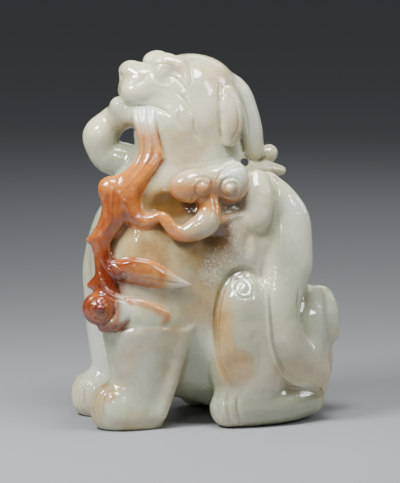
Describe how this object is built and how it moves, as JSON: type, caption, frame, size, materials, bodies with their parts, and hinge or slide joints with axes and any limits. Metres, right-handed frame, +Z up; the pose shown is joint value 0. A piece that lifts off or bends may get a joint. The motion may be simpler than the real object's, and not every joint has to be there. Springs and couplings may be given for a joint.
{
  "type": "jade mythical beast",
  "caption": "Seated mythical beast carved in the round from a pebble of pale jade, head raised, biting a russet spray of lingzhi fungus that hangs down its flank",
  "frame": {"origin": "on the ground under the middle of the figure's box", "axes": "+Z up, the beast looks along -X, its left flank with the fungus faces -Y"},
  "size_m": [0.072, 0.0458, 0.0959],
  "materials": {
    "jade": "glassy polish on pale celadon nephrite, with russet skin kept on the fungus"
  },
  "bodies": {
    "root": {"jade_beast": "jade"}
  },
  "joints": []
}
